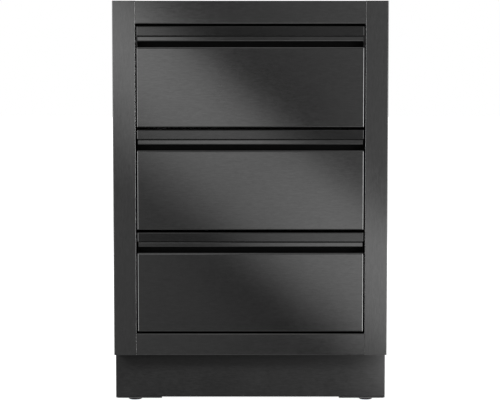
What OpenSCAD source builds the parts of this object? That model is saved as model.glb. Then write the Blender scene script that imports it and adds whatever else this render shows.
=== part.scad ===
// Base cabinet with three drawers, in folded sheets of dark brushed stainless steel.
// Each drawer front has a finger pull, recessed under a band along its top.
// Millimetres. The origin is on the floor at the centre of the footprint:
// +X is to the right, -Y is the front and +Z is up.

/* [Cabinet] */
// Overall width
body_w = 609.6; // [560:0.1:700]
// Overall depth, from the face to the screw heads on the back
body_d = 609.6; // [600:0.1:700]
// Overall height, with the feet screwed in
body_h = 900; // [880:0.5:930]
// Thickness of the folded steel sheet
sheet = 1.2; // [1:0.1:1.5]
// Inside radius of a fold
fold_r = 0.8; // [0.5:0.1:1]

/* [Face frame] */
// Width of a stile
stile_w = 50.8; // [48:0.1:60]
// Height of the top rail
top_rail_h = 50.8; // [40:0.1:60]
// Height of the bottom rail
bottom_rail_h = 48.8; // [40:0.1:60]
// Depth of the frame's folded returns
frame_d = 25.4; // [22:0.1:30]

/* [Toe space and feet] */
// Height of the face frame's lower edge above the floor
toe_h = 112.8; // [100:0.1:130]
// How far the toe kick is set back from the face
toe_d = 45; // [35:1:60]
// Distance of each foot from the cabinet's side
foot_in = 42; // [38:1:50]
// Distance of the front feet behind the toe kick, and of the rear ones ahead of the back
foot_back = 30; // [28:1:45]
// Radius of a foot's pad
pad_r = 15.5; // [14:0.5:18]
// Radius of a foot's threaded stud
stud_r = 5; // [4:0.5:5]
// Gap under the corner plates when the feet are screwed in
foot_gap = 7; // [7:0.1:12]

/* [Drawer fronts] */
// Number of drawers
drawers = 3; // [3:1:3]
// Gap above the top front
gap_top = 5.4; // [3:0.1:8]
// Gap between two fronts
gap_between = 5.8; // [4:0.1:8]
// Gap under the bottom front
gap_bottom = 4.4; // [3:0.1:8]
// Gap at each side of a front
gap_side = 2.4; // [1.5:0.1:3]
// Thickness of a front, from its face to the back of its inner plate
front_t = 36; // [34:1:40]
// Height of the band above the pull
band_h = 19.9; // [15:0.1:25]
// Inside radius of a front's folded ends
end_r = 1.8; // [0.8:0.1:2.2]
// Height of the groove between the band and the lip
groove_h = 1.8; // [1.6:0.1:3]
// Height of the lip and the groove together
lip_h = 13.1; // [11:0.1:14]
// How much shorter the lip is than the band at each end
lip_inset = 2.5; // [2.5:0.1:4]
// Drop from the top of the band to the top of the panel
panel_drop = 45.2; // [44:0.1:50]
// Outside radius of the panel's rolled top edge
rim_r = 4; // [3:0.5:6]
// Thickness of the rolled edge, front to back
rim_d = 12; // [10:0.5:13]
// Depth of the finger recess, below the top of the front
recess_h = 84; // [75:1:100]

/* [Drawer boxes] */
// Height of the box sides
box_h = 150; // [120:1:160]
// Height of the box's bottom above the front's lower edge
box_up = 12; // [8:1:20]
// Distance of the box's back from the face
box_end = 554.8; // [546:0.1:560]

/* [Slides] */
// Length of a slide
slide_l = 500; // [480:10:500]
// Height of a slide
slide_h = 45; // [45:1:46]
// Width of a slide, from the cabinet to the box
slide_w = 12.7; // [12.7:0.1:13]
// Thickness of the slide sections
slide_t = 1.2; // [1:0.1:1.2]
// Height of a slide's middle above the front's lower edge
slide_up = 60; // [50:1:80]
// Radius of a slide's balls
ball_r = 1.35; // [1.2:0.05:1.35]
// Balls in one row
balls = 6; // [4:1:6]

/* [Hidden] */
numbers = [1 : drawers];

$fn = 48;
ARC = 6;            // straight steps in a fold
EASE = 0.05;        // clearance of a shank in its hole

// Colours
DARK_STEEL = "#4b4b4c";
SHEET_STEEL = "#6f7072";
SLIDE_STEEL = "#9a9da0";
SCREW_STEEL = "#b4b6b8";
PAD_BLACK = "#1d1d1e";

// The case, from the outside in
half_w = body_w / 2;
face_y = -body_d / 2;
head_h = 1.8;                               // height of a pan head
back_y = body_d / 2 - head_h;               // outside of the back panel
flange_y = back_y - sheet;                  // outside of the flanges under it
lip_y = face_y + frame_d;                   // back of the face frame
kick_y = face_y + toe_d;
kick_lip_y = kick_y + frame_d;
plate_t = 2.5;                              // corner plates under the case
base_z = foot_gap + plate_t;                // lower edge of the sheets
fold_out = sheet + fold_r;                  // outside radius of a fold
side_lip = 20;                              // joining lips of the frame and the sides
side_flange = frame_d;                      // flanges on the other edges of the sides
open_x = half_w - stile_w;                  // half of the drawer opening
stile_edge_r = 0.2;                         // inside radius of the stiles' sharp inner edge
rail_z = body_h - top_rail_h;
sill_z = toe_h + bottom_rail_h;
floor_z = toe_h + sheet;
top_return = 50;                            // the top rail's wide upper return
drip_y = face_y + front_t + 6;              // the rail's lower return, behind the top front
drip_h = 12;                                // how far its edge turns down there
kick_return = 15;

// Inner walls that carry the slides
wall_top = body_h - 30;
wall_lip = 20;

// Holes in the case
join_y = 180;                               // joining holes, ahead of and behind the middle
join_z = [330, 790];
join_r = 3.5;
access_r = 10;                              // openings that let a spanner through the inner wall
fixing_x = 200;                             // wall fixings in the back
fixing_z = [300, 780];
fixing_r = 4;
gusset_leg = 96;
gusset_t = 2;
gusset_hole = 38.4;                         // hole's distance from both legs of a gusset
counter_r = 4;

// Screws
shank_r = 2;
head_r = 3.6;
screw_l = 5;
back_screw_x = half_w - side_flange / 2;
back_screw_z = [60, 260, 460, 660, 860];
stretcher_screw_x = [-140, 0, 140];
stretcher_d = 30;
stretcher_lip = 25;
stretcher_screw_z = body_h - 14;

// Feet
foot_x = half_w - foot_in;
foot_y = [kick_y + foot_back, back_y - foot_back - 20];
plate_w = 104;
plate_d = 80;
nut_h = 8;
hex_r = 9.8;                                // corner radius of the weld nuts and of the feet's hexagons
pad_h = 5;
stud_top = 58;
stud_low = 3;

// A drawer front, measured back from the face and down from its own top
front_w = 2 * (open_x - gap_side);
room_h = rail_z - sill_z - gap_top - gap_bottom;
front_h = (room_h - (drawers - 1) * gap_between) / drawers;
pitch = front_h + gap_between;
plate_y = front_t - sheet;                  // front of the inner plate
rim_back = 24;                              // how far the rolled edge turns down behind
lip_step = 2 * fold_r + sheet + 0.2;        // how far the lip is set back behind the band
groove_d = lip_step + 6;                    // depth of the groove, from the face
lip_hem = [8, 8];                           // how far it's folded back and up along its lower edge
recess_up = 22;                             // the recess's front wall
recess_r = 4;
flange_w = 14;

// A drawer box, in the same measure
box_x = open_x - slide_w;
box_low = box_up - front_h;
box_top = box_low + box_h;
hem_w = 8;
box_lap = 24;
front_screw_x = front_w / 2 - 5.5;
front_screw_z = [-100, -134, -206];

// A slide's section: x from the cabinet's wall, z from the slide's middle
slide_z = slide_up - front_h;
slide_y = 40;                               // front end of the slide
slide_end = slide_y + slide_l;
half_h = slide_h / 2;
race = 2 * ball_r + 0.6;                    // room for a row of balls
middle_h = half_h - slide_t - race;
inner_h = middle_h - slide_t - race;
outer_x = slide_w - 2.2;                    // how far the cabinet member's flanges reach
middle_x = [2.5, 11];
inner_x = [5.1, slide_w];
cage_t = 0.6;
outer_cage_x = [1.5, 8.9];
inner_cage_x = [4.1, 10.4];
cage_y = 200;
cage_l = 180;
ball_pitch = cage_l / balls;
slide_screw_y = [70, 250, 500];
middle_hole_y = [90, 190, 390, 490];
middle_hole_r = 4;

// Folded sheet ------------------------------------------------------------------

function unit(v) = v / norm(v);

function turned(v, a) = [v.x * cos(a) - v.y * sin(a), v.x * sin(a) + v.y * cos(a)];

// The arc of radius r that rounds the corner at p, between a and b
function rounded_corner(a, p, b, r) =
    let (
        u = unit(p - a),
        v = unit(b - p),
        way = sign(cross(u, v)),
        bend = acos(u * v),
        start = p - u * r * tan(bend / 2),
        spoke = turned(u, -90 * way) * r
    )
    [for (k = [0 : ARC]) start - spoke + turned(spoke, way * bend * k / ARC)];

// A line of points with its corners folded. The sheet lies on the left of the line,
// so a left turn has the line on the outside of the fold.
function folded(points, t, radii) = [
    points[0],
    for (i = [1 : 1 : len(points) - 2])
        let (left = cross(points[i] - points[i - 1], points[i + 1] - points[i]) > 0)
        each rounded_corner(
            points[i - 1], points[i], points[i + 1],
            (is_list(radii) ? radii[i - 1] : radii) + (left ? t : 0)
        ),
    points[len(points) - 1]
];

// The same line moved to its left by t
function moved_left(line, t) = [
    for (i = [0 : len(line) - 1])
        let (
            ahead = unit(line[min(i + 1, len(line) - 1)] - line[min(i, len(line) - 2)]),
            behind = unit(line[max(i, 1)] - line[max(i, 1) - 1]),
            n = unit(turned(ahead + behind, 90))
        )
        line[i] + n * t / (n * turned(ahead, 90))
];

// Section of a sheet of thickness t, folded along the points
module fold(points, radii = fold_r, t = sheet) {
    line = folded(points, t, radii);
    inner = moved_left(line, t);
    polygon(concat(line, [for (i = [len(inner) - 1 : -1 : 0]) inner[i]]));
}

// The area inside that section's outer line
module filled(points, radii = fold_r, t = sheet) {
    polygon(folded(points, t, radii));
}

// Draws a (y, z) section along X, over a width centred on the cabinet
module along_x(width) {
    rotate([90, 0, 90]) translate([0, 0, -width / 2]) linear_extrude(width) children();
}

// Draws an (x, z) section along Y
module along_y(from, to) {
    translate([0, to, 0]) rotate([90, 0, 0]) linear_extrude(to - from) children();
}

// Draws an (x, y) section along Z
module along_z(from, to) {
    translate([0, 0, from]) linear_extrude(to - from) children();
}

module both_sides() {
    children();
    mirror([1, 0, 0]) children();
}

module place(side) {
    mirror([side == "right" ? 1 : 0, 0, 0]) children();
}

// A hole or shank along X, through x = 0 of its place
module rod_x(r, length) rotate([0, 90, 0]) cylinder(r = r, h = length, center = true);

// A hole or shank along Y, from its place towards the back
module rod_y(r, length) rotate([-90, 0, 0]) cylinder(r = r, h = length);

// Case --------------------------------------------------------------------------

// Left side, or the right one mirrored: a sheet with all its edges folded inwards
module side_panel(side) {
    upper = [[side_flange - half_w, flange_y], [-half_w, flange_y],
        [-half_w, lip_y], [side_lip - half_w, lip_y]];
    lower = [upper[0], upper[1],
        [-half_w, kick_lip_y], [side_lip - half_w, kick_lip_y]];
    top = [[side_flange - half_w, body_h], [-half_w, body_h], [-half_w, body_h - 20]];
    foot = [[-half_w, base_z + 20], [-half_w, base_z], [side_flange - half_w, base_z]];
    color(DARK_STEEL) place(side) difference() {
        union() {
            along_z(toe_h, body_h - fold_out) fold(upper);
            along_z(base_z + fold_out, toe_h) fold(lower);
            along_y(lip_y, flange_y) fold(top);
            along_y(kick_lip_y, flange_y) fold(foot);
        }
        for (y = [-join_y, join_y], z = join_z)
            translate([-half_w, y, z]) rod_x(join_r, 4 * sheet);
        at_back_screws() rod_y(shank_r + EASE, 6 * sheet);
    }
}

// Inner wall beside the drawers, from the face frame to the back
module slide_panel(side) {
    wall = [[-open_x - wall_lip, lip_y], [-open_x, lip_y],
        [-open_x, flange_y], [-open_x - wall_lip, flange_y]];
    color(SHEET_STEEL) place(side) difference() {
        along_z(floor_z, wall_top) fold(wall);
        for (y = [-join_y, join_y], z = join_z)
            translate([-open_x, y, z]) rod_x(access_r, 4 * sheet);
        for (n = numbers, y = slide_screw_y)
            translate([-open_x, face_y + y, front_top(n) + slide_z]) rod_x(shank_r + EASE, 4 * sheet);
    }
}

module back_panel() {
    color(DARK_STEEL) difference() {
        translate([-half_w + fold_out, flange_y, base_z])
            cube([body_w - 2 * fold_out, sheet, body_h - base_z]);
        for (x = [-fixing_x, fixing_x], z = fixing_z)
            translate([x, flange_y - sheet, z]) rod_y(fixing_r, 3 * sheet);
        at_back_screws() rod_y(shank_r + EASE, 6 * sheet);
    }
}

// Places of the screws in the back, 2 sheets ahead of the flanges
module at_back_screws() {
    for (x = [-back_screw_x, back_screw_x], z = back_screw_z)
        translate([x, flange_y - 2 * sheet, z]) children();
    for (x = stretcher_screw_x)
        translate([x, flange_y - 2 * sheet, stretcher_screw_z]) children();
}

module floor_panel() {
    tray = [[-half_w + sheet, toe_h + 20], [-half_w + sheet, toe_h],
        [half_w - sheet, toe_h], [half_w - sheet, toe_h + 20]];
    color(SHEET_STEEL) along_y(lip_y + fold_out, flange_y - fold_out) fold(tray);
}

module rear_stretcher() {
    angle = [[flange_y, body_h - stretcher_lip], [flange_y, body_h], [flange_y - stretcher_d, body_h]];
    color(SHEET_STEEL) difference() {
        along_x(2 * (half_w - side_flange)) fold(angle);
        at_back_screws() rod_y(shank_r + EASE, 6 * sheet);
    }
}

// Triangular plates under the case's top flanges, each with a hole for a worktop screw
module top_gussets() {
    corners = [[1, lip_y + fold_out], [-1, flange_y - fold_out]];
    color(SHEET_STEEL) both_sides() for (c = corners)
        translate([-half_w + fold_out, c[1], body_h - sheet - gusset_t]) turned_back(c[0])
            linear_extrude(gusset_t) difference() {
                polygon([[0, 0], [gusset_leg, 0], [gusset_leg, 6], [6, gusset_leg], [0, gusset_leg]]);
                translate([gusset_hole, gusset_hole]) circle(counter_r);
            }
}

// Turns the front to the back where way is -1
module turned_back(way) {
    mirror([0, way < 0 ? 1 : 0, 0]) children();
}

// Face frame --------------------------------------------------------------------

module stile(side) {
    section = [[side_lip - half_w, lip_y], [-half_w, lip_y], [-half_w, face_y],
        [-open_x, face_y], [-open_x, lip_y], [-open_x - side_lip, lip_y]];
    color(DARK_STEEL) place(side) {
        along_z(toe_h, body_h) fold(section, [fold_r, fold_r, stile_edge_r, fold_r]);
        along_z(body_h - sheet, body_h)
            filled([section[1], section[2], section[3], section[4]], [fold_r, stile_edge_r]);
    }
}

// Top rail: its lower return ends in a drip edge behind the top front
module top_rail() {
    section = [[face_y + top_return, body_h], [face_y, body_h],
        [face_y, rail_z], [drip_y, rail_z], [drip_y, rail_z - drip_h]];
    color(DARK_STEEL) along_x(2 * open_x) fold(section);
}

module bottom_rail() {
    section = [[lip_y, sill_z - 10], [lip_y, sill_z], [face_y, sill_z],
        [face_y, toe_h], [lip_y, toe_h]];
    color(DARK_STEEL) along_x(2 * open_x) fold(section);
}

// Toe kick and feet -------------------------------------------------------------

// Toe kick: its ends are folded back like the stiles, its long edges under the floor and the case
module toe_kick() {
    ends = [[side_lip - half_w, kick_lip_y], [-half_w, kick_lip_y], [-half_w, kick_y],
        [half_w, kick_y], [half_w, kick_lip_y], [half_w - side_lip, kick_lip_y]];
    edges = [[kick_y + kick_return, toe_h], [kick_y, toe_h],
        [kick_y, base_z], [kick_y + kick_return, base_z]];
    inner_w = body_w - 2 * fold_out;
    color(DARK_STEEL) {
        along_z(base_z, toe_h) difference() {
            fold(ends);
            translate([-inner_w / 2, kick_y - 1]) square([inner_w, fold_out + 1]);
        }
        along_x(inner_w) fold(edges);
    }
}

module at_feet() {
    for (x = [-foot_x, foot_x], y = foot_y) translate([x, y, 0]) children();
}

module foot_plates() {
    color(SHEET_STEEL) difference() {
        both_sides() for (y = [kick_y, flange_y - plate_d])
            along_z(foot_gap, base_z)
                translate([-half_w, y]) polygon([
                    [0, 4], [4, 0], [plate_w, 0], [plate_w, plate_d], [4, plate_d], [0, plate_d - 4]
                ]);
        at_feet() translate([0, 0, foot_gap - 1]) cylinder(r = stud_r + 0.5, h = plate_t + 2);
    }
}

module foot_nuts() {
    color(SCREW_STEEL) at_feet() translate([0, 0, base_z]) difference() {
        cylinder(r = hex_r, h = nut_h, $fn = 6);
        translate([0, 0, -1]) cylinder(r = stud_r + EASE, h = nut_h + 2);
    }
}

function foot_place(corner) = [
    corner == "front_left" || corner == "rear_left" ? -foot_x : foot_x,
    corner == "front_left" || corner == "front_right" ? foot_y[0] : foot_y[1],
    0
];

// Round pad with a chamfered edge, and a hexagon for a spanner on top
module foot_pad(corner) {
    color(PAD_BLACK) translate(foot_place(corner)) difference() {
        union() {
            rotate_extrude() polygon([[0, 0], [pad_r - 1, 0], [pad_r, 1], [pad_r, pad_h - 1.5],
                [pad_r - 1.5, pad_h], [0, pad_h]]);
            cylinder(r = hex_r, h = foot_gap - 0.3, $fn = 6);
        }
        translate([0, 0, stud_low]) cylinder(r = stud_r + EASE, h = foot_gap);
    }
}

module foot_stud(corner) {
    color(SCREW_STEEL) translate(foot_place(corner)) {
        translate([0, 0, stud_low]) cylinder(r = stud_r, h = stud_top - stud_low - 1);
        translate([0, 0, stud_top - 1]) cylinder(r1 = stud_r, r2 = stud_r - 1, h = 1);
    }
}

// Screws ------------------------------------------------------------------------

// Countersunk screw of a cabinet member, its head towards +X at x = 0
module flush_screw() {
    rotate([0, -90, 0]) {
        cylinder(r1 = head_r, r2 = shank_r, h = slide_t);
        translate([0, 0, slide_t]) cylinder(r = shank_r, h = screw_l);
    }
}

module case_screws() {
    color(SCREW_STEEL) {
        at_back_screws() {
            rod_y(shank_r, 3 * sheet);
            translate([0, 3 * sheet, 0]) rotate([-90, 0, 0]) cylinder(r1 = head_r, r2 = head_r - 0.8, h = head_h);
        }
        both_sides() for (n = numbers, y = slide_screw_y)
            translate([slide_t - open_x, face_y + y, front_top(n) + slide_z]) flush_screw();
    }
}

// The screws of one drawer: six in the front's flanges, three in each slide
module drawer_screws(n) {
    color(SCREW_STEEL) at_front(n) both_sides() {
        for (z = front_screw_z) translate([-front_screw_x, front_t, z]) {
            translate([0, -screw_l, 0]) rod_y(shank_r, screw_l);
            rotate([-90, 0, 0]) cylinder(r1 = head_r, r2 = head_r - 0.8, h = head_h);
        }
        for (y = slide_screw_y) translate([-box_x, y, slide_z]) {
            translate([sheet / 2, 0, 0]) rod_x(shank_r, screw_l);
            translate([-slide_t, 0, 0]) rotate([0, -90, 0])
                cylinder(r1 = head_r, r2 = head_r - 0.8, h = head_h);
        }
    }
}

// Drawer front ------------------------------------------------------------------

function front_top(n) = rail_z - gap_top - (n - 1) * pitch;

// Places what is measured from the top edge of front n
module at_front(n) {
    translate([0, face_y, front_top(n)]) children();
}

// The front's outline from above: its ends are folded back
front_plan = [[-front_w / 2, plate_y], [-front_w / 2, 0], [front_w / 2, 0], [front_w / 2, plate_y]];

// Lower panel: a pan with a rolled top edge and flanges that take the screws
module front_panel(n) {
    outside = [[plate_y, -panel_drop], [0, -panel_drop], [0, -front_h], [plate_y, -front_h]];
    skin = [[rim_d, -panel_drop - rim_back], [rim_d, -panel_drop], outside[1], outside[2], outside[3]];
    flange = [[flange_w - front_w / 2, plate_y], [-front_w / 2, plate_y], [-front_w / 2, plate_y - 12]];
    color(DARK_STEEL) at_front(n) difference() {
        union() {
            intersection() {
                union() {
                    along_x(front_w) fold(skin, [1.8, rim_r - sheet, fold_r]);
                    along_z(-front_h, -panel_drop) fold(front_plan, end_r);
                }
                along_x(front_w) filled(outside, [rim_r - sheet, fold_r]);
                along_z(-front_h, -panel_drop) filled(front_plan, end_r);
            }
            both_sides() along_z(-front_h + 3, -recess_h - 3) fold(flange);
        }
        both_sides() for (z = front_screw_z)
            translate([-front_screw_x, plate_y - 2 * sheet, z]) rod_y(shank_r + EASE, 3 * sheet);
    }
}

// Band along the top, a groove, and the set-back lip with a hem to take the fingertips
module pull_band(n) {
    lip_z = -band_h - lip_h;
    outside = [[plate_y, 0], [0, 0], [0, -band_h], [groove_d, -band_h],
        [groove_d, -band_h - groove_h], [lip_step, -band_h - groove_h], [lip_step, lip_z],
        [lip_step + lip_hem.x, lip_z], [lip_step + lip_hem.x, lip_z + lip_hem.y]];
    color(DARK_STEEL) at_front(n) difference() {
        union() {
            intersection() {
                along_z(-band_h, 0) fold(front_plan, end_r);
                along_x(front_w) filled([outside[0], outside[1], [0, -front_h], [plate_y, -front_h]]);
            }
            intersection() {
                along_x(front_w) fold(outside);
                along_z(-front_h, 0) filled(front_plan, end_r);
            }
        }
        both_sides() translate([-front_w / 2 - 1, -1, -front_h])
            cube([lip_inset + 1, plate_y, front_h - band_h]);
    }
}

// Trough behind the slot that the fingers reach into, closed at both ends
module pull_recess(n) {
    trough = [[plate_y - sheet, -sheet], [plate_y - sheet, -recess_h],
        [rim_d + sheet, -recess_h], [rim_d + sheet, recess_up - recess_h]];
    end = [[plate_y, -sheet], [rim_d, -sheet], [rim_d, -recess_h - sheet], [plate_y, -recess_h - sheet]];
    trough_w = front_w - 2 * sheet;
    color(DARK_STEEL) at_front(n) {
        along_x(trough_w) fold(trough, recess_r);
        both_sides() translate([(sheet - trough_w) / 2, 0, 0])
            along_x(sheet) filled(end, recess_r);
    }
}

// Drawer box --------------------------------------------------------------------

// Plate that closes the back of the front and makes the front wall of the box
module box_front(n) {
    color(SHEET_STEEL) at_front(n) difference() {
        translate([-front_w / 2, plate_y, -front_h]) cube([front_w, sheet, front_h]);
        both_sides() for (z = front_screw_z)
            translate([-front_screw_x, plate_y - sheet, z]) rod_y(shank_r + EASE, 3 * sheet);
    }
}

// Bottom and sides of the box, with a hem along the top of each side
module box_tray(n) {
    section = [[hem_w - box_x, box_top], [-box_x, box_top], [-box_x, box_low],
        [box_x, box_low], [box_x, box_top], [box_x - hem_w, box_top]];
    color(SHEET_STEEL) at_front(n) difference() {
        along_y(front_t, box_end) fold(section);
        both_sides() for (y = slide_screw_y)
            translate([-box_x, y, slide_z]) rod_x(shank_r + EASE, 4 * sheet);
    }
}

module box_back(n) {
    x = box_x - sheet;
    plan = [[x, box_end - box_lap], [x, box_end], [-x, box_end], [-x, box_end - box_lap]];
    hem = [[box_end, box_top - 20], [box_end, box_top], [box_end - hem_w, box_top]];
    color(SHEET_STEEL) at_front(n) {
        along_z(box_low + fold_out, box_top - fold_out) fold(plan);
        along_x(2 * (box_x - hem_w)) fold(hem);
    }
}

// Slides ------------------------------------------------------------------------

// Places a slide's section at the left of drawer n, and mirrors it to the right
module at_slides(n) {
    both_sides() translate([-open_x, face_y, front_top(n) + slide_z]) children();
}

module slide_member(n, section, from, to) {
    at_slides(n) along_y(from, to) fold(section, fold_r, slide_t);
}

// Member on the cabinet, with a stop folded across its rear end
module cabinet_slides(n) {
    section = [[outer_x, half_h - 2.5], [outer_x, half_h], [0, half_h],
        [0, -half_h], [outer_x, -half_h], [outer_x, 2.5 - half_h]];
    color(SLIDE_STEEL) difference() {
        union() {
            slide_member(n, section, slide_y, slide_end);
            at_slides(n) translate([slide_t / 2, slide_end - slide_t, -8]) cube([outer_x, slide_t, 16]);
        }
        at_slides(n) for (y = slide_screw_y) translate([slide_t, y, 0]) rotate([0, -90, 0])
            cylinder(r1 = head_r + EASE, r2 = shank_r + EASE, h = slide_t);
    }
}

// Member between the other two: it travels half as far as the drawer
module middle_slides(n) {
    section = [[middle_x[1], middle_h], [middle_x[0], middle_h],
        [middle_x[0], -middle_h], [middle_x[1], -middle_h]];
    color(SLIDE_STEEL) difference() {
        slide_member(n, section, slide_y + 2, slide_end - 4);
        at_slides(n) for (y = middle_hole_y) translate([middle_x[0], y, 0]) rod_x(middle_hole_r, 4 * slide_t);
    }
}

// Member on the drawer's box
module drawer_slides(n) {
    section = [[inner_x[0], -inner_h], [inner_x[1], -inner_h],
        [inner_x[1], inner_h], [inner_x[0], inner_h]];
    color(SLIDE_STEEL) difference() {
        slide_member(n, section, front_t + 1, slide_end - 3);
        at_slides(n) for (y = slide_screw_y) translate([slide_w, y, 0]) rod_x(shank_r + EASE, 4 * slide_t);
    }
}

// Strip folded between two members, with a row of balls along each edge
module ball_cages(n, x, race_z) {
    strip_z = race_z + cage_t / 2;
    strip = [[x[1], strip_z], [x[0], strip_z], [x[0], -strip_z], [x[1], -strip_z]];
    color(SCREW_STEEL) at_slides(n) {
        along_y(cage_y, cage_y + cage_l) fold(strip, 0.3, cage_t);
        for (k = [0 : balls - 1], way = [-1, 1])
            translate([x[1] - 2.4, cage_y + (k + 0.5) * ball_pitch, way * race_z])
                sphere(r = ball_r, $fn = 24);
    }
}

module outer_ball_cages(n) ball_cages(n, outer_cage_x, half_h - slide_t - race / 2);

module inner_ball_cages(n) ball_cages(n, inner_cage_x, middle_h - slide_t - race / 2);

// -------------------------------------------------------------------------------

side_panel("left");  // side_panel_left
side_panel("right");  // side_panel_right
back_panel();
floor_panel();
rear_stretcher();
slide_panel("left");  // slide_panel_left
slide_panel("right");  // slide_panel_right
stile("left");  // stile_left
stile("right");  // stile_right
top_rail();
bottom_rail();
toe_kick();
foot_plates();
foot_nuts();
top_gussets();
case_screws();
for (n = numbers) {
    cabinet_slides(n);
    middle_slides(n);
    drawer_slides(n);
    outer_ball_cages(n);
    inner_ball_cages(n);
    drawer_screws(n);
    front_panel(n);
    pull_band(n);
    pull_recess(n);
    box_front(n);
    box_tray(n);
    box_back(n);
}
for (corner = ["front_left", "front_right", "rear_left", "rear_right"]) {
    foot_pad(corner);
    foot_stud(corner);
}
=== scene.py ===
"""Looks of the three-drawer base cabinet: dark brushed steel on a pale floor, in a dim studio."""

import math

import bmesh
import bpy
from mathutils import Matrix, Vector


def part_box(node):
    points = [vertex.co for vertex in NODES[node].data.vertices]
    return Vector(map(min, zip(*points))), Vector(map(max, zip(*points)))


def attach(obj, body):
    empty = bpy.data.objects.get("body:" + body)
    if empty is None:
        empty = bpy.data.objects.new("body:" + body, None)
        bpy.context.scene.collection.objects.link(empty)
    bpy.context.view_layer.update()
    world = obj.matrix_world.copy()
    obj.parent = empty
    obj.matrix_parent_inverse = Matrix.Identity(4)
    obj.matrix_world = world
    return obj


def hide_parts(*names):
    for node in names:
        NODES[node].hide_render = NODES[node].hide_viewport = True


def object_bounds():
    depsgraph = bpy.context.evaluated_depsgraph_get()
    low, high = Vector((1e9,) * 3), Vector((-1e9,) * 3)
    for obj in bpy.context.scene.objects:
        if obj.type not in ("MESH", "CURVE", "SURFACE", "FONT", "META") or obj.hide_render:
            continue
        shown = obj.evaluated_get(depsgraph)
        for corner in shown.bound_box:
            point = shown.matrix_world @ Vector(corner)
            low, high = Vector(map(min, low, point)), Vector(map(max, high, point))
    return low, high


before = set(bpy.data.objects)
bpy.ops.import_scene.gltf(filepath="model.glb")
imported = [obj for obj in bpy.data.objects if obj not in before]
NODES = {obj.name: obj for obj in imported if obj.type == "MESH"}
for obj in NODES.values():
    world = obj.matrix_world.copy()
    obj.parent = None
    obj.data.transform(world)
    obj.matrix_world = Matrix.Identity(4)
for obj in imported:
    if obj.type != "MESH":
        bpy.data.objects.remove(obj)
cad_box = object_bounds()
DRAWERS = (1, 2, 3)
CORNERS = ("front_left", "front_right", "rear_left", "rear_right")

BAND_H = 0.0199                # height of the band above a drawer's lip
BEND_R = 0.0014                # outside radius of a stile's inner bend
SLACK = 0.0005                 # takes in the faces that lie on a limit
GAP_START = 0.0008             # how far behind the face the painted shade on the sides of the gaps begins
GAP_END = 0.004                # and how far behind it it ends

low, high = (Vector(c) for c in cad_box)
face_y = low.y
rail_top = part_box("bottom_rail")[1].z
stile_low, stile_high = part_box("stile_right")
open_x = stile_low.x + SLACK   # half of the opening between the stiles
# The top rail's face is as high as a stile is wide.
rail_end = high.z - (stile_high.x - stile_low.x) + SLACK


# ---------------------------------------------------------------- materials

def empty_material(name):
    """A material with its output and nothing that leads to it."""
    material = bpy.data.materials.new(name)
    material.use_nodes = True
    tree = material.node_tree
    tree.nodes.clear()
    return material, tree, tree.nodes.new("ShaderNodeOutputMaterial")


def new_material(name):
    """A material with one Principled shader."""
    material, tree, output = empty_material(name)
    shader = tree.nodes.new("ShaderNodeBsdfPrincipled")
    tree.links.new(shader.outputs["BSDF"], output.inputs["Surface"])
    return material, tree, shader


def even(rate):
    """A noise's scale that is the same along every axis."""
    return rate, rate, rate


def drawn_out(along, across_rate, along_rate):
    """A noise's scale that is lower along one axis."""
    return [along_rate if axis == along else across_rate for axis in "xyz"]


def stretched_noise(tree, scale, detail=3.0, roughness=0.6):
    """Noise in the piece's own coordinates. Its scale is in changes per metre along each axis."""
    coordinates = tree.nodes.new("ShaderNodeTexCoord")
    mapping = tree.nodes.new("ShaderNodeMapping")
    mapping.inputs["Scale"].default_value = scale
    noise = tree.nodes.new("ShaderNodeTexNoise")
    noise.inputs["Scale"].default_value = 1.0
    noise.inputs["Detail"].default_value = detail
    noise.inputs["Roughness"].default_value = roughness
    tree.links.new(coordinates.outputs["Object"], mapping.inputs["Vector"])
    tree.links.new(mapping.outputs["Vector"], noise.inputs["Vector"])
    return noise.outputs["Fac"]


def spread(tree, value, to_low, to_high, from_low=0.3, from_high=0.7):
    """Maps a range, which is the middle of a noise's unless it's given, to another one."""
    node = tree.nodes.new("ShaderNodeMapRange")
    node.inputs["From Min"].default_value = from_low
    node.inputs["From Max"].default_value = from_high
    node.inputs["To Min"].default_value = to_low
    node.inputs["To Max"].default_value = to_high
    tree.links.new(value, node.inputs["Value"])
    return node.outputs["Result"]


def multiplied(tree, a, b):
    node = tree.nodes.new("ShaderNodeMath")
    node.operation = "MULTIPLY"
    tree.links.new(a, node.inputs[0])
    tree.links.new(b, node.inputs[1])
    return node.outputs["Value"]


def grey_ramp(tree, value, dark, light):
    node = tree.nodes.new("ShaderNodeValToRGB")
    node.color_ramp.elements[0].color = (dark, dark, dark, 1)
    node.color_ramp.elements[1].color = (light, light, light, 1)
    tree.links.new(value, node.inputs["Fac"])
    return node.outputs["Color"]


def mixed(tree, factor, a, b):
    node = tree.nodes.new("ShaderNodeMix")
    node.data_type = "RGBA"
    tree.links.new(factor, node.inputs["Factor"])
    tree.links.new(a, node.inputs["A"])
    tree.links.new(b, node.inputs["B"])
    return node.outputs["Result"]


def bumps(tree, shader, heights):
    """Adds (height, depth in metres) pairs to the shader's normal, one on the other."""
    normal = None
    for value, depth in heights:
        node = tree.nodes.new("ShaderNodeBump")
        node.inputs["Strength"].default_value = 1.0
        node.inputs["Distance"].default_value = depth
        tree.links.new(value, node.inputs["Height"])
        if normal is not None:
            tree.links.new(normal, node.inputs["Normal"])
        normal = node.outputs["Normal"]
    tree.links.new(normal, shader.inputs["Normal"])


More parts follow.
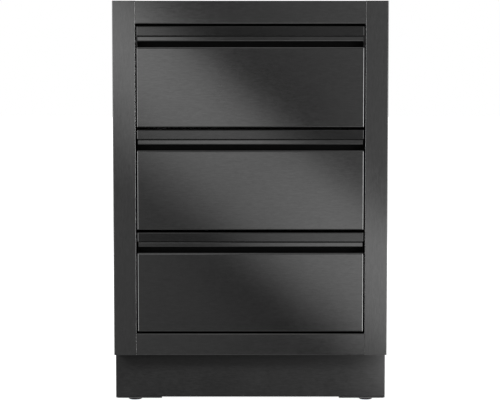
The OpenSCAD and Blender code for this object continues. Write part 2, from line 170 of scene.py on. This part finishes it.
def brushed_steel(name, along, tone, rough, line_depth=3e-6, wave_depth=3e-4):
    """Brushed sheet: short fine lines along one axis, faint streaks and the slow waves of a flat sheet."""
    material, tree, shader = new_material(name)
    lines = stretched_noise(tree, drawn_out(along, 2200.0, 70.0), detail=2.0, roughness=0.7)
    streaks = stretched_noise(tree, drawn_out(along, 270.0, 85.0), detail=4.0, roughness=0.65)
    clouds = stretched_noise(tree, even(9.0))
    waves = stretched_noise(tree, even(5.0), detail=1.0)
    shade = multiplied(tree, spread(tree, lines, 0.9, 1.1), spread(tree, streaks, 0.945, 1.055))
    shader.inputs["Metallic"].default_value = 1.0
    tree.links.new(grey_ramp(tree, spread(tree, shade, 0.0, 1.0, 0.85, 1.15), tone * 0.8, tone * 1.2),
                   shader.inputs["Base Color"])
    blur = multiplied(tree, spread(tree, streaks, rough * 0.9, rough * 1.1),
                      spread(tree, clouds, 0.92, 1.08))
    tree.links.new(blur, shader.inputs["Roughness"])
    bumps(tree, shader, [(waves, wave_depth), (lines, line_depth)])
    return material


def dimmed(material, axis, start, end, share):
    """Takes a material's tone down along an axis, from all of it at end to a share of it at start."""
    tree = material.node_tree
    shader = next(node for node in tree.nodes if node.type == "BSDF_PRINCIPLED")
    tone = shader.inputs["Base Color"].links[0].from_socket
    place = tree.nodes.new("ShaderNodeTexCoord")
    parts = tree.nodes.new("ShaderNodeSeparateXYZ")
    darker = tree.nodes.new("ShaderNodeHueSaturation")
    tree.links.new(place.outputs["Object"], parts.inputs["Vector"])
    tree.links.new(spread(tree, parts.outputs[axis], share, 1.0, start, end), darker.inputs["Value"])
    tree.links.new(tone, darker.inputs["Color"])
    tree.links.new(darker.outputs["Color"], shader.inputs["Base Color"])


def plated_steel(name, tone, rough):
    """Bright zinc plate with a faint mottle."""
    material, tree, shader = new_material(name)
    mottle = stretched_noise(tree, even(160.0), detail=4.0)
    shader.inputs["Metallic"].default_value = 1.0
    tree.links.new(grey_ramp(tree, spread(tree, mottle, 0.0, 1.0), tone * 0.93, tone * 1.05),
                   shader.inputs["Base Color"])
    tree.links.new(spread(tree, mottle, rough * 0.85, rough * 1.2), shader.inputs["Roughness"])
    bumps(tree, shader, [(mottle, 4e-6)])
    return material


def moulded_plastic(name, tone, rough):
    """Moulded black plastic with a fine sparked texture."""
    material, tree, shader = new_material(name)
    grain = stretched_noise(tree, even(2500.0), detail=2.0)
    scuffs = stretched_noise(tree, even(120.0), detail=4.0)
    tree.links.new(grey_ramp(tree, spread(tree, scuffs, 0.0, 1.0), tone * 0.75, tone * 1.4),
                   shader.inputs["Base Color"])
    tree.links.new(spread(tree, scuffs, rough * 0.85, rough * 1.1), shader.inputs["Roughness"])
    bumps(tree, shader, [(grain, 2e-5)])
    return material


# Tones, roughnesses and places of the materials.
DARK = 0.25                    # tone of the drawer fronts
FRAME = 0.285                  # of the case and the face frame
BAND = 0.15                    # of the bands over the finger slots
SHEET = 0.42                   # and of the plain sheet inside
FRONT_ROUGH = 0.12
FRAME_ROUGH = 0.15
SHEET_ROUGH = 0.36
SHEET_LINES = 8e-7             # depth of the plain sheet's grain
EDGE_LOW_SHARE = 0.72          # share of its tone that the painted highlight on a stile's bend keeps at the bottom rail
EDGE_FULL_Z = 0.75             # height from which it has all of it
SHADE_STRIP_DEPTH = 0.05             # how far back the inner walls get painted shade, where the gaps show them
SHADE_STRIP_FADE = 0.01              # over how much depth the painted shade ends
SHADE_STRIP_SHARE = 0.12             # share of the sheet's tone in the painted shade

steel_across = brushed_steel("dark_steel_across", "x", tone=DARK, rough=FRONT_ROUGH)
steel_rail = brushed_steel("dark_steel_rail", "x", tone=FRAME, rough=FRAME_ROUGH)
steel_band = brushed_steel("dark_steel_band", "x", tone=BAND, rough=FRONT_ROUGH)
# Painted shade: a near-black copy for the fold at the right end of each band only.
steel_band_end_painted_shade = brushed_steel("painted_shade_band_end", "x", tone=0.07, rough=FRONT_ROUGH)
steel_upright = brushed_steel("dark_steel_upright", "z", tone=FRAME, rough=FRAME_ROUGH, line_depth=2e-6)
# A lighter copy of the uprights' steel: painted highlight on the stiles' inner bends, faded towards the
# bottom rail.
steel_painted_highlight = brushed_steel("painted_highlight_edge", "z", tone=0.45, rough=0.2, line_depth=1e-6)
dimmed(steel_painted_highlight, "Z", rail_top, EDGE_FULL_Z, EDGE_LOW_SHARE)
# The toe kick's steel is toned far darker than the frame's: painted shade for its place under the face
# frame.
steel_kick_painted_shade = brushed_steel("shaded_dark_steel_kick", "x", tone=0.08, rough=0.45, line_depth=1e-6, wave_depth=1e-4)
# Near-black steel: painted shade for the backs of the finger slots and the sides of the gaps.
steel_painted_gap_shade = brushed_steel("recess_steel", "x", tone=0.02, rough=0.5)
steel_inside = brushed_steel("sheet_steel", "y", tone=SHEET, rough=SHEET_ROUGH, line_depth=SHEET_LINES)
steel_back = brushed_steel("sheet_steel_upright", "z", tone=SHEET, rough=SHEET_ROUGH,
                           line_depth=SHEET_LINES)
# Painted shade on the front strip of the slide panels, which the gaps beside the fronts show.
dimmed(steel_back, "Y", face_y + SHADE_STRIP_DEPTH, face_y + SHADE_STRIP_DEPTH + SHADE_STRIP_FADE, SHADE_STRIP_SHARE)
slide_plate = plated_steel("slide_steel", tone=0.55, rough=0.28)
screw_plate = plated_steel("screw_steel", tone=0.6, rough=0.22)
pad_plastic = moulded_plastic("pad_plastic", tone=0.035, rough=0.5)

LOOKS = {
    "side_panel_left": steel_upright,
    "side_panel_right": steel_upright,
    "back_panel": steel_upright,
    "stile_left": steel_upright,
    "stile_right": steel_upright,
    "top_rail": steel_rail,
    "bottom_rail": steel_rail,
    "toe_kick": steel_kick_painted_shade,
    "slide_panel_left": steel_back,
    "slide_panel_right": steel_back,
    "front_panel": steel_across,
    "pull_band": steel_across,
    "pull_recess": steel_painted_gap_shade,
    "cabinet_slides": slide_plate,
    "middle_slides": slide_plate,
    "drawer_slides": slide_plate,
    "outer_ball_cages": screw_plate,
    "inner_ball_cages": screw_plate,
    "drawer_screws": screw_plate,
    "case_screws": screw_plate,
    "foot_nuts": screw_plate,
}


def look_of(node):
    if node.startswith("foot_pad"):
        return pad_plastic
    if node.startswith("foot_stud"):
        return screw_plate
    return LOOKS.get(node, LOOKS.get(node.rstrip("_123"), steel_inside))


for node, part in NODES.items():
    part.data.materials.clear()
    part.data.materials.append(look_of(node))


def second_look(node, material, chosen):
    """Gives the faces of a node that chosen(centre, normal) picks another material."""
    mesh = NODES[node].data
    mesh.materials.append(material)
    slot = len(mesh.materials) - 1
    for face in mesh.polygons:
        if chosen(face.center, face.normal):
            face.material_index = slot


FACING = 0.8                   # how much of its normal lies along an axis where a face looks that way
INNER_BEND = (0.1, 0.6)        # the same for the part of a stile's bend that gets a painted highlight, sideways
END_FOLD = (0.05, 0.8)         # and for the fold at a band's right end, which gets painted shade


def on_the_fold(centre, normal):
    """The inner part of the small round folds at the edges of a front, out of the light, which gets
    painted shade.
    """
    behind = centre.y - face_y
    return GAP_START < behind < GAP_END and abs(normal.x) + abs(normal.z) > FACING


def on_the_inner_bend(centre, normal):
    """The sharp bend of a stile beside the fronts, which gets a painted highlight."""
    least, most = INNER_BEND
    on_the_bend = abs(centre.x) < open_x + BEND_R and centre.y < face_y + BEND_R
    return on_the_bend and least < abs(normal.x) <= most


def beside_the_fronts(centre, normal):
    """The sides of a stile that look into the opening, which get painted shade."""
    return abs(centre.x) < open_x and abs(normal.x) > INNER_BEND[1]


def above(height):
    return lambda centre, normal: centre.z > height


def shaded_right_end_above(height):
    """The fold at the right end of a band, which gets painted shade to dull the highlight that the light
    from the right gives it.
    """
    least, most = END_FOLD
    return lambda centre, normal: centre.z > height and least < normal.x < most and normal.y < 0


# The lip under each band has the fronts' own finish, and the band itself a darker one.
for n in DRAWERS:
    band = f"pull_band_{n}"
    lip_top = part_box(band)[1].z - BAND_H
    second_look(band, steel_band, above(lip_top))
    second_look(band, steel_band_end_painted_shade, shaded_right_end_above(lip_top))
    # Painted shade on the folds that the gaps round each front show.
    second_look(band, steel_painted_gap_shade, on_the_fold)
    second_look(f"front_panel_{n}", steel_painted_gap_shade, on_the_fold)
# A painted highlight on each stile's inner bend, and painted shade on its sides that look into the
# opening.
for node in ("stile_left", "stile_right"):
    second_look(node, steel_painted_highlight, on_the_inner_bend)
    second_look(node, steel_painted_gap_shade, beside_the_fronts)
# Painted shade on the bottom rail's top and on the top rail below its face, where the gaps show them.
second_look("bottom_rail", steel_painted_gap_shade, lambda centre, normal: normal.z > FACING)
second_look("top_rail", steel_painted_gap_shade, lambda centre, normal: centre.z < rail_end)


# ---------------------------------------------------------------- screws, nuts and feet

MM = 0.001
HEAD_R = 0.0036                # pan and sunk heads
HEAD_H = 0.0018                # a pan head's height
SINK_H = 0.0012                # and how deep a sunk head's cone goes
SHANK_R = 0.002
SCREW_PITCH = 0.0008
TIP, ROOT, NECK = 0.7, 0.82, 0.95    # of the shank's radius: its end, the thread's bottom, under the head
RIM = 0.1 * MM                 # bevel round a sunk head
PAN_SIDE = 0.35                # how much of a pan head's height its steep side takes
PAN_DRAW = 0.28                # and how much narrower its top is
PAN_STEPS = 5
STUD_PITCH = 0.0015
THREAD_DEPTH = 0.61            # of a metric thread, in pitches
CLEARANCE = 0.05 * MM          # round the stud in its bores
HEX_FLAT = 0.0085              # half of the width across a hexagon's flats
HEX_CORNER = 1.13 * HEX_FLAT   # radius that its corners are turned down to
PAD_H = 0.005                  # height of a pad up to its collar
DECIMALS = 5                   # points of a node that agree to so many, in metres, are one
SHARP = math.radians(32)       # edges that bend more than this aren't smooth

# The four feet are alike, and so are their nuts.
nut_low, nut_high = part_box("foot_nuts")
stud_low, stud_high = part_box("foot_stud_front_left")
stud_r = (stud_high.x - stud_low.x) / 2
bore_r = stud_r + CLEARANCE


def ring(build, z, radius_at, count):
    """A ring of points round the Z axis. radius_at(angle) gives their distance from it."""
    points = []
    for k in range(count):
        angle = math.tau * k / count
        radius = radius_at(angle)
        points.append(build.verts.new((radius * math.cos(angle), radius * math.sin(angle), z)))
    return points


def round_ring(build, z, radius, count):
    return ring(build, z, lambda angle: radius, count)


def hex_ring(build, z, flat, corner, count):
    """A hexagon's outline, with its corners turned down to a radius."""
    def radius_at(angle):
        off = (angle + math.pi / 6) % (math.pi / 3) - math.pi / 6
        return min(flat / math.cos(off), corner)
    return ring(build, z, radius_at, count)


def skin(build, rings, closed=False):
    """Quads between rings that follow one another, with a lid on each end unless they close up."""
    pairs = list(zip(rings, rings[1:])) + ([(rings[-1], rings[0])] if closed else [])
    for lower, upper in pairs:
        for k in range(len(lower)):
            after = (k + 1) % len(lower)
            build.faces.new((lower[k], lower[after], upper[after], upper[k]))
    if not closed:
        build.faces.new(rings[0][::-1])
        build.faces.new(rings[-1])


def built(build, name):
    """A mesh of what was built."""
    mesh = bpy.data.meshes.new(name)
    build.to_mesh(mesh)
    build.free()
    return mesh


def solid_mesh(build, name):
    """The same, with the normals of a closed surface turned outwards."""
    bmesh.ops.recalc_face_normals(build, faces=build.faces)
    return built(build, name)


def in_scene(name, data):
    """A new object, linked into the scene."""
    thing = bpy.data.objects.new(name, data)
    bpy.context.scene.collection.objects.link(thing)
    return thing


def without_tool(mesh, tool):
    """The mesh with the tool's solid cut out of it."""
    solid = in_scene("solid", mesh)
    cutter = in_scene("cutter", tool)
    modifier = solid.modifiers.new("cut", "BOOLEAN")
    modifier.object = cutter
    modifier.operation = "DIFFERENCE"
    modifier.solver = "EXACT"
    cut = bpy.data.meshes.new_from_object(solid.evaluated_get(bpy.context.evaluated_depsgraph_get()))
    for thing in (solid, cutter):
        bpy.data.objects.remove(thing)
    return cut


def cross_tool(top):
    """A tapering cross, for the drive recess of a screw whose head ends at top."""
    arm, slot, depth, floor_share = 1.9 * MM, 0.42 * MM, 1.1 * MM, 0.45
    quarter = [(arm, -slot), (arm, slot), (slot, slot)]
    turns = ((1, 0), (0, 1), (-1, 0), (0, -1))
    outline = [(x * c - y * s, x * s + y * c) for c, s in turns for x, y in quarter]
    levels = [(top - depth, floor_share), (top, 1.0), (top + depth, 1.0)]
    build = bmesh.new()
    skin(build, [[build.verts.new((x * share, y * share, z)) for x, y in outline] for z, share in levels])
    return solid_mesh(build, "cross")


def screw_mesh(sunk, length):
    """A cross-head screw. Its head's underside, or a sunk head's top, is at z = 0 and it points down."""
    sides = 20
    under = SINK_H if sunk else 0.0
    steps = max(2, int((length - under) / (SCREW_PITCH / 2)))
    build = bmesh.new()
    rings = [round_ring(build, -length, SHANK_R * TIP, sides)]
    for k in range(1, steps):
        radius = SHANK_R if k % 2 else SHANK_R * ROOT
        rings.append(round_ring(build, -length + (length - under) * k / steps, radius, sides))
    rings.append(round_ring(build, -under, SHANK_R * NECK, sides))
    if sunk:
        rings.append(round_ring(build, -RIM, HEAD_R, sides))
        rings.append(round_ring(build, 0.0, HEAD_R - RIM, sides))
    else:
        rings.append(round_ring(build, 0.0, HEAD_R, sides))
        for k in range(PAN_STEPS + 1):
            lift = k / PAN_STEPS
            height = HEAD_H * (PAN_SIDE + (1 - PAN_SIDE) * math.sin(lift * math.pi / 2))
            rings.append(round_ring(build, height, HEAD_R * (1 - PAN_DRAW * lift ** 2), sides))
    skin(build, rings)
    return without_tool(solid_mesh(build, "screw"), cross_tool(0.0 if sunk else HEAD_H))


def loose_parts(node):
    """The vertices of each separate solid in a node, with those at one place taken as one."""
    mesh = NODES[node].data
    places = [tuple(round(c, DECIMALS) for c in v.co) for v in mesh.vertices]
    parent = {place: place for place in places}

    def root(place):
        while parent[place] != place:
            parent[place] = parent[parent[place]]
            place = parent[place]
        return place

    for face in mesh.polygons:
        first = root(places[face.vertices[0]])
        for index in face.vertices[1:]:
            parent[root(places[index])] = first
    solids = {}
    for place in parent:
        solids.setdefault(root(place), []).append(Vector(place))
    return list(solids.values())


def screw_place(points):
    """Where a screw's head begins, the way that it points out, its length and if it's sunk."""
    start, end = (Vector(pick(p[k] for p in points) for k in range(3)) for pick in (min, max))
    middle = (start + end) / 2

    def off_axis(point, axis):
        arm = point - middle
        return round((arm.length_squared - arm[axis] ** 2) ** 0.5, DECIMALS)

    axis = min(range(3), key=lambda k: max(off_axis(p, k) for p in points))
    widest = max(off_axis(p, axis) for p in points)
    rim = [p[axis] for p in points if off_axis(p, axis) == widest]
    seat = middle.copy()
    seat[axis] = sum(rim) / len(rim)
    out = Vector((0.0, 0.0, 0.0))
    out[axis] = 1.0 if seat[axis] > middle[axis] else -1.0
    far = start[axis] if out[axis] > 0 else end[axis]
    near = end[axis] if out[axis] > 0 else start[axis]
    return seat, out, abs(seat[axis] - far), abs(near - seat[axis]) < HEAD_H / 2


def add_piece(name, shapes, material, body, slot, *nodes):
    """One piece of many meshes, each with its place, that stands for the nodes."""
    build = bmesh.new()
    for shape, place in shapes:
        moved = shape.copy()
        moved.transform(place)
        build.from_mesh(moved)
    mesh = built(build, name)
    mesh.materials.append(material)
    for face in mesh.polygons:
        face.use_smooth = True
    mesh.set_sharp_from_angle(angle=SHARP)
    piece = in_scene(name, mesh)
    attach(piece, body)
    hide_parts(*nodes)


screw_meshes = {}


def add_screws(node, body):
    placed = []
    for points in loose_parts(node):
        seat, out, length, sunk = screw_place(points)
        key = (sunk, round(length, 4))
        if key not in screw_meshes:
            screw_meshes[key] = screw_mesh(*key)
        turn = out.to_track_quat("Z", "Y").to_matrix().to_4x4()
        placed.append((screw_meshes[key], Matrix.Translation(seat) @ turn))
    add_piece(f"{node}_cross_head", placed, screw_plate, body, "screw_steel", node)


def nut_mesh(height):
    """A chamfered hexagon nut with a bore for the stud, standing on z = 0."""
    sides = 48
    chamfer = 0.6 * MM
    build = bmesh.new()
    skin(build, [
        hex_ring(build, 0.0, HEX_FLAT, HEX_FLAT, sides),
        hex_ring(build, chamfer, HEX_FLAT, HEX_CORNER, sides),
        hex_ring(build, height - chamfer, HEX_FLAT, HEX_CORNER, sides),
        hex_ring(build, height, HEX_FLAT, HEX_FLAT, sides),
        round_ring(build, height, bore_r + chamfer, sides),
        round_ring(build, height - chamfer, bore_r, sides),
        round_ring(build, chamfer, bore_r, sides),
        round_ring(build, 0.0, bore_r + chamfer, sides),
    ], closed=True)
    return solid_mesh(build, "nut")


def stud_mesh(low_z, high_z):
    """A stud with a right-hand thread and a chamfered end."""
    sides, rings_per_turn = 16, 4
    depth = THREAD_DEPTH * STUD_PITCH
    end, start, slope = 1.2 * MM, 0.3 * MM, MM
    steps = int((high_z - low_z) / STUD_PITCH * rings_per_turn)
    build = bmesh.new()
    rings = []
    for k in range(steps + 1):
        z = low_z + (high_z - low_z) * k / steps
        taper = min(1.0, (high_z - z) / end, (z - low_z + start) / slope)

        def radius_at(angle, z=z, taper=taper):
            phase = ((z - low_z) / STUD_PITCH - angle / math.tau) % 1.0
            return (stud_r - depth) + depth * taper * (1 - abs(2 * phase - 1))
        rings.append(ring(build, z, radius_at, sides))
    skin(build, rings)
    return solid_mesh(build, "stud")


def pad_mesh(radius, height, collar_top):
    """A moulded pad with a notched grip round its rim, and a hexagon collar on top."""
    sides, notch, bore_depth = 72, 0.7 * MM, 2.5 * MM
    collar_foot, collar_bevel = 1.25 * HEX_FLAT, 0.4 * MM

    def grip(angle):
        return radius - (notch if round(angle * sides / math.tau) % 4 < 2 else 0.0)

    build = bmesh.new()
    skin(build, [
        round_ring(build, 0.0, radius - 1.6 * MM, sides),
        round_ring(build, 0.4 * MM, radius - 0.9 * MM, sides),
        ring(build, 0.9 * MM, grip, sides),
        ring(build, height - 1.3 * MM, grip, sides),
        round_ring(build, height - 0.6 * MM, radius - 1.2 * MM, sides),
        round_ring(build, height, radius - 2.2 * MM, sides),
        round_ring(build, height, collar_foot, sides),
        hex_ring(build, height + 0.2 * MM, HEX_FLAT, HEX_CORNER, sides),
        hex_ring(build, collar_top - collar_bevel, HEX_FLAT, HEX_CORNER, sides),
        hex_ring(build, collar_top, HEX_FLAT - collar_bevel, 1.05 * HEX_FLAT, sides),
        round_ring(build, collar_top, bore_r, sides),
        round_ring(build, collar_top - bore_depth, bore_r, sides),
    ])
    return solid_mesh(build, "pad")


add_screws("case_screws", "cabinet")
for n in DRAWERS:
    add_screws(f"drawer_screws_{n}", f"drawer_{n}")

nut = nut_mesh(nut_high.z - nut_low.z)
stud = stud_mesh(stud_low.z, stud_high.z)
feet = {}
for corner in CORNERS:
    pad_low, pad_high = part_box(f"foot_pad_{corner}")
    feet[corner] = Matrix.Translation(((pad_low.x + pad_high.x) / 2, (pad_low.y + pad_high.y) / 2, 0.0))
pad = pad_mesh((pad_high.x - pad_low.x) / 2, PAD_H, pad_high.z)
lift = Matrix.Translation((0, 0, nut_low.z))
add_piece("weld_nuts", [(nut, lift @ place) for place in feet.values()], screw_plate, "cabinet",
          "screw_steel", "foot_nuts")
for corner, place in feet.items():
    add_piece(f"levelling_pad_{corner}", [(pad, place)], pad_plastic, f"foot_{corner}",
              "pad_plastic", f"foot_pad_{corner}")
    add_piece(f"threaded_stud_{corner}", [(stud, place)], screw_plate, f"foot_{corner}",
              "screw_steel", f"foot_stud_{corner}")


# ---------------------------------------------------------------- stage, light and camera

CAMERA_BACK = 3.5              # from the face
CAMERA_SIDE = -0.001
CAMERA_UP = 0.7187
CAMERA_PITCH = math.radians(4.221)
LENS = 113.9                   # mm, as the sensor's width is
SENSOR = 36.0
FLOOR_SIDE = 60.0
FLOOR_GLOW = 0.95              # keeps the floor white beside the cabinet
LOW_AHEAD = 0.17               # brightness of the room ahead of the fronts, low down
HIGH_AHEAD = 0.12              # and higher up
LOW_BEHIND = 0.24              # the same beside and behind the cabinet, where it's brighter
HIGH_BEHIND = 0.62


def card(name, place, target, size, radiance):
    """A soft box: an area light that the camera doesn't see, of the radiance given."""
    light = bpy.data.lights.new(name, "AREA")
    light.shape = "RECTANGLE"
    light.size, light.size_y = size
    light.energy = radiance * math.pi * size[0] * size[1]
    lamp = in_scene(name, light)
    facing = (Vector(target) - Vector(place)).to_track_quat("-Z", "Y").to_matrix().to_4x4()
    lamp.matrix_world = Matrix.Translation(place) @ facing
    lamp.visible_camera = False
    return lamp


def flat_mesh(name, length, width):
    build = bmesh.new()
    corners = ((-1, -1), (1, -1), (1, 1), (-1, 1))
    build.faces.new([build.verts.new((x * length / 2, y * width / 2, 0.0)) for x, y in corners])
    return built(build, name)


def floor_plane():
    material, tree, shader = new_material("pale_floor")
    shader.inputs["Base Color"].default_value = (0.85, 0.85, 0.85, 1)
    shader.inputs["Roughness"].default_value = 0.9
    shader.inputs["Emission Color"].default_value = (1, 1, 1, 1)
    shader.inputs["Emission Strength"].default_value = FLOOR_GLOW
    material.cycles.emission_sampling = "NONE"
    plane = in_scene("floor", flat_mesh("floor", FLOOR_SIDE, FLOOR_SIDE))
    plane.data.materials.append(material)
    plane.visible_glossy = False


def studio_world():
    """White backdrop for the camera. For everything else a room that is dim ahead of the fronts.

    The numbers in each spread are two values of a direction's height, or of how far back it points."""
    world = bpy.data.worlds.new("studio")
    bpy.context.scene.world = world
    world.use_nodes = True
    tree = world.node_tree
    tree.nodes.clear()
    output = tree.nodes.new("ShaderNodeOutputWorld")
    mix = tree.nodes.new("ShaderNodeMixShader")
    path = tree.nodes.new("ShaderNodeLightPath")
    room = tree.nodes.new("ShaderNodeBackground")
    backdrop = tree.nodes.new("ShaderNodeBackground")
    direction = tree.nodes.new("ShaderNodeTexCoord")
    parts = tree.nodes.new("ShaderNodeSeparateXYZ")
    tree.links.new(direction.outputs["Generated"], parts.inputs["Vector"])
    ahead = spread(tree, parts.outputs["Z"], LOW_AHEAD, HIGH_AHEAD, -0.6, -0.3)
    behind = spread(tree, parts.outputs["Z"], LOW_BEHIND, HIGH_BEHIND, -0.5, 0.1)
    backwards = spread(tree, parts.outputs["Y"], 0.0, 1.0, -0.75, 0.2)
    tree.links.new(mixed(tree, backwards, ahead, behind), room.inputs["Color"])
    backdrop.inputs["Color"].default_value = (1, 1, 1, 1)
    tree.links.new(path.outputs["Is Camera Ray"], mix.inputs["Fac"])
    tree.links.new(room.outputs["Background"], mix.inputs[1])
    tree.links.new(backdrop.outputs["Background"], mix.inputs[2])
    tree.links.new(mix.outputs["Shader"], output.inputs["Surface"])


camera_data = bpy.data.cameras.new("camera")
camera_data.lens = LENS
camera_data.sensor_width = SENSOR
camera_data.dof.use_dof = False
camera = in_scene("camera", camera_data)
camera.location = (CAMERA_SIDE, face_y - CAMERA_BACK, CAMERA_UP)
camera.rotation_euler = (math.radians(90) - CAMERA_PITCH, 0, 0)
bpy.context.scene.camera = camera

floor_plane()
studio_world()

# The fronts mirror a screen WALL_AHEAD metres before the face. A bright band leans across it from
# the upper left to the lower right. Each row gives a place across the band, as the face shows it,
# and the brightness there at the band's upper end, middle and lower end.
WALL_AHEAD = 2.5
WALL_LENGTH = 4.8
LEAN = math.radians(41)
BAND_CENTRE = 0.531            # height on the face of the row at 0
HALF_BAND = 0.45               # along the band from its middle to each end, as the face shows it
WALL_REACH = 0.6               # across the band from 0 to the first and the last row
WALL_LIGHT = (
    (-0.60, 0.17, 0.135, 0.10),
    (-0.30, 0.17, 0.13, 0.08),
    (-0.19, 0.13, 0.08, 0.02),
    (-0.08, 0.44, 0.38, 0.44),
    (0.00, 0.62, 0.42, 0.56),
    (0.055, 0.60, 0.42, 0.66),
    (0.095, 0.52, 0.34, 0.56),
    (0.145, 0.10, 0.05, 0.22),
    (0.24, 0.06, 0.135, 0.25),
    (0.30, 0.11, 0.155, 0.26),
    (0.60, 0.16, 0.21, 0.30),
)


def shades_across(tree, across, column):
    """The brightness of one column of WALL_LIGHT, by the place across the band."""
    node = tree.nodes.new("ShaderNodeValToRGB")
    stops = node.color_ramp.elements
    for _ in WALL_LIGHT[1:-1]:
        stops.new(0.5)         # its place is set below
    for stop, row in zip(stops, WALL_LIGHT):
        stop.position = (row[0] + WALL_REACH) / (2 * WALL_REACH)
        stop.color = (row[column], row[column], row[column], 1)
    tree.links.new(across, node.inputs["Fac"])
    return node.outputs["Color"]


def mirrored_wall():
    """The screen, which is larger by grow than its image on the face."""
    grow = 1 + WALL_AHEAD / CAMERA_BACK
    half_width = WALL_REACH * grow
    wall = in_scene("mirrored_wall", flat_mesh("mirrored_wall", WALL_LENGTH, 2 * half_width))
    centre = Vector((0.0, face_y - WALL_AHEAD, CAMERA_UP + (BAND_CENTRE - CAMERA_UP) * grow))
    upright = Matrix.Rotation(math.radians(90), 4, "X")
    wall.matrix_world = Matrix.Translation(centre) @ upright @ Matrix.Rotation(-LEAN, 4, "Z")
    material, tree, output = empty_material("screen_light")
    light = tree.nodes.new("ShaderNodeEmission")
    place = tree.nodes.new("ShaderNodeTexCoord")
    parts = tree.nodes.new("ShaderNodeSeparateXYZ")
    tree.links.new(place.outputs["Object"], parts.inputs["Vector"])
    across = spread(tree, parts.outputs["Y"], 0.0, 1.0, -half_width, half_width)
    reach = HALF_BAND * grow
    upper_end = spread(tree, parts.outputs["X"], 1.0, 0.0, -reach, 0.0)
    lower_end = spread(tree, parts.outputs["X"], 0.0, 1.0, 0.0, reach)
    upper, middle, lower = (shades_across(tree, across, column) for column in (1, 2, 3))
    shades = mixed(tree, lower_end, mixed(tree, upper_end, middle, upper), lower)
    tree.links.new(shades, light.inputs["Color"])
    tree.links.new(light.outputs["Emission"], output.inputs["Surface"])
    wall.data.materials.append(material)
    wall.visible_camera = False


def collection_of(name, nodes):
    """A collection of CAD nodes, for a light to shine on or to leave out."""
    collection = bpy.data.collections.new(name)
    for node in nodes:
        collection.objects.link(NODES[node])
    return collection


mirrored_wall()
card("overhead_box", (0, 0.9, 2.6), (0, 0.5, 0), size=(2.4, 1.6), radiance=0.9)
card("back_box", (0.6, 3.4, 1.5), (0, 0, 0.5), size=(2.6, 2.0), radiance=0.6)

# The side lights leave out the toe kick, so that the face frame's edge casts its shadow on it.
all_but_kick = collection_of("all_but_kick", ["toe_kick"])
all_but_kick.collection_objects[0].light_linking.link_state = "EXCLUDE"
for lamp in (
    card("left_box", (-1.7, face_y - 1.5, 0.7), (0, face_y, 0.5), size=(0.9, 2.2), radiance=1.6),
    card("right_box", (1.7, face_y - 1.5, 0.55), (0, face_y, 0.4), size=(0.9, 2.0), radiance=3.0),
):
    lamp.light_linking.receiver_collection = all_but_kick

# Three lights for the toe kick alone.
kick_only = collection_of("kick_only", ["toe_kick"])
for lamp in (
    card("kick_strip", (-1.4, face_y - 2.6, 2.1), (-0.4, face_y, 0.11), size=(4.0, 1.2), radiance=15.0),
    card("kick_box", (0, face_y - 1.6, 1.0), (0, face_y, 0.11), size=(4.0, 1.0), radiance=0.7),
    card("kick_corner_box", (0.40, face_y - 0.1, 0.07), (0.28, face_y, 0.06),
         size=(0.08, 0.12), radiance=10.0),
):
    lamp.light_linking.receiver_collection = kick_only

# One light for the drawer boxes and slides alone, for when they are open.
inside_box = card("inside_box", (0, face_y - 0.5, 2.4), (0, face_y - 0.1, 0.5),
                  size=(1.8, 1.2), radiance=1.6)
inside_box.light_linking.receiver_collection = collection_of(
    "insides", [node for node in NODES if node.startswith("box_") or "slides" in node])

view = bpy.context.scene.view_settings
view.view_transform = "Standard"
view.look = "None"
